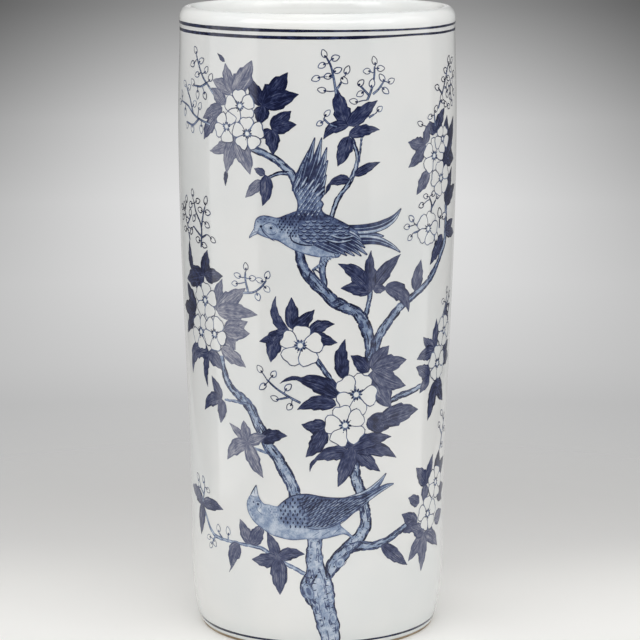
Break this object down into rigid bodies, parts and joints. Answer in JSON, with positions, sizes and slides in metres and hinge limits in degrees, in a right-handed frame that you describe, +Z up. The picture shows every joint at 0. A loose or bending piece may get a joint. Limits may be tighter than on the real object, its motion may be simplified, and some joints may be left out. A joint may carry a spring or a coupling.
{
  "type": "umbrella stand",
  "caption": "Tall open porcelain barrel with a rounded lip and a turned foot, painted in blue with birds on a flowering branch, for standing umbrellas in.",
  "frame": {"origin": "centre of the plane that the foot ring stands on", "axes": "+Z up along the axis the barrel is turned about; -Y is the side with the two birds, +X is that side's right"},
  "size_m": [0.2032, 0.2032, 0.4572],
  "materials": {
    "glazed_porcelain": "clear glossy glaze over off-white porcelain",
    "bare_biscuit": "unglazed, wiped foot, tan where it met the kiln flame",
    "cobalt_dark": "dense underglaze cobalt",
    "cobalt_wash": "thinned underglaze cobalt wash"
  },
  "bodies": {
    "root": {"lower_wall": "glazed_porcelain", "upper_wall": "glazed_porcelain", "lip": "glazed_porcelain", "floor": "glazed_porcelain", "foot_ring": "bare_biscuit"}
  },
  "joints": []
}
